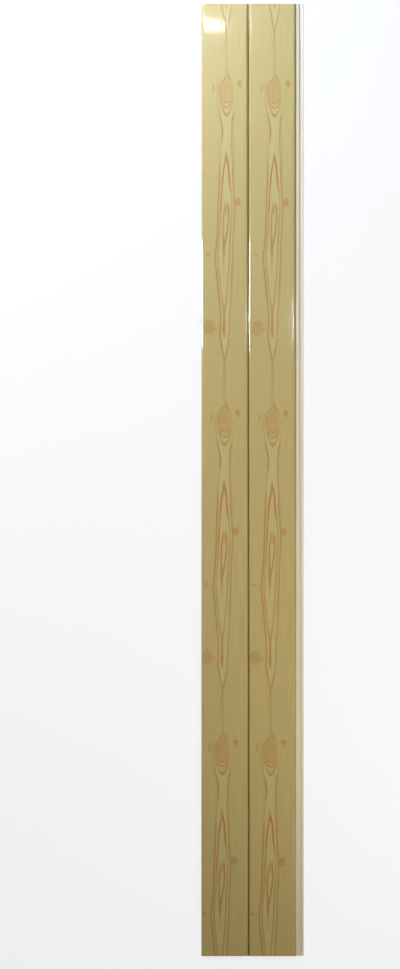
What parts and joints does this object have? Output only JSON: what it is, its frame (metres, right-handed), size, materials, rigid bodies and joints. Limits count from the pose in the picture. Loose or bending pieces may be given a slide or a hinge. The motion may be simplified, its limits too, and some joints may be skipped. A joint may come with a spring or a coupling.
{
  "type": "cladding board",
  "caption": "Hollow extruded plastic cladding board with a pine print, a groove down its middle, an interlocking lip and tongue and a nailing flange.",
  "frame": {"origin": "centre of the bounding box on the back plane: midway along the board and midway across it, the nailing flange included", "axes": "+Z out of the printed face, +Y along the board, +X across it from the lip edge to the tongue and flange edge"},
  "size_m": [0.215, 2, 0.008],
  "materials": {
    "board": "glossy printed face with a pine grain, plain satin plastic elsewhere"
  },
  "bodies": {
    "root": {"cladding_board": "board"}
  },
  "joints": []
}
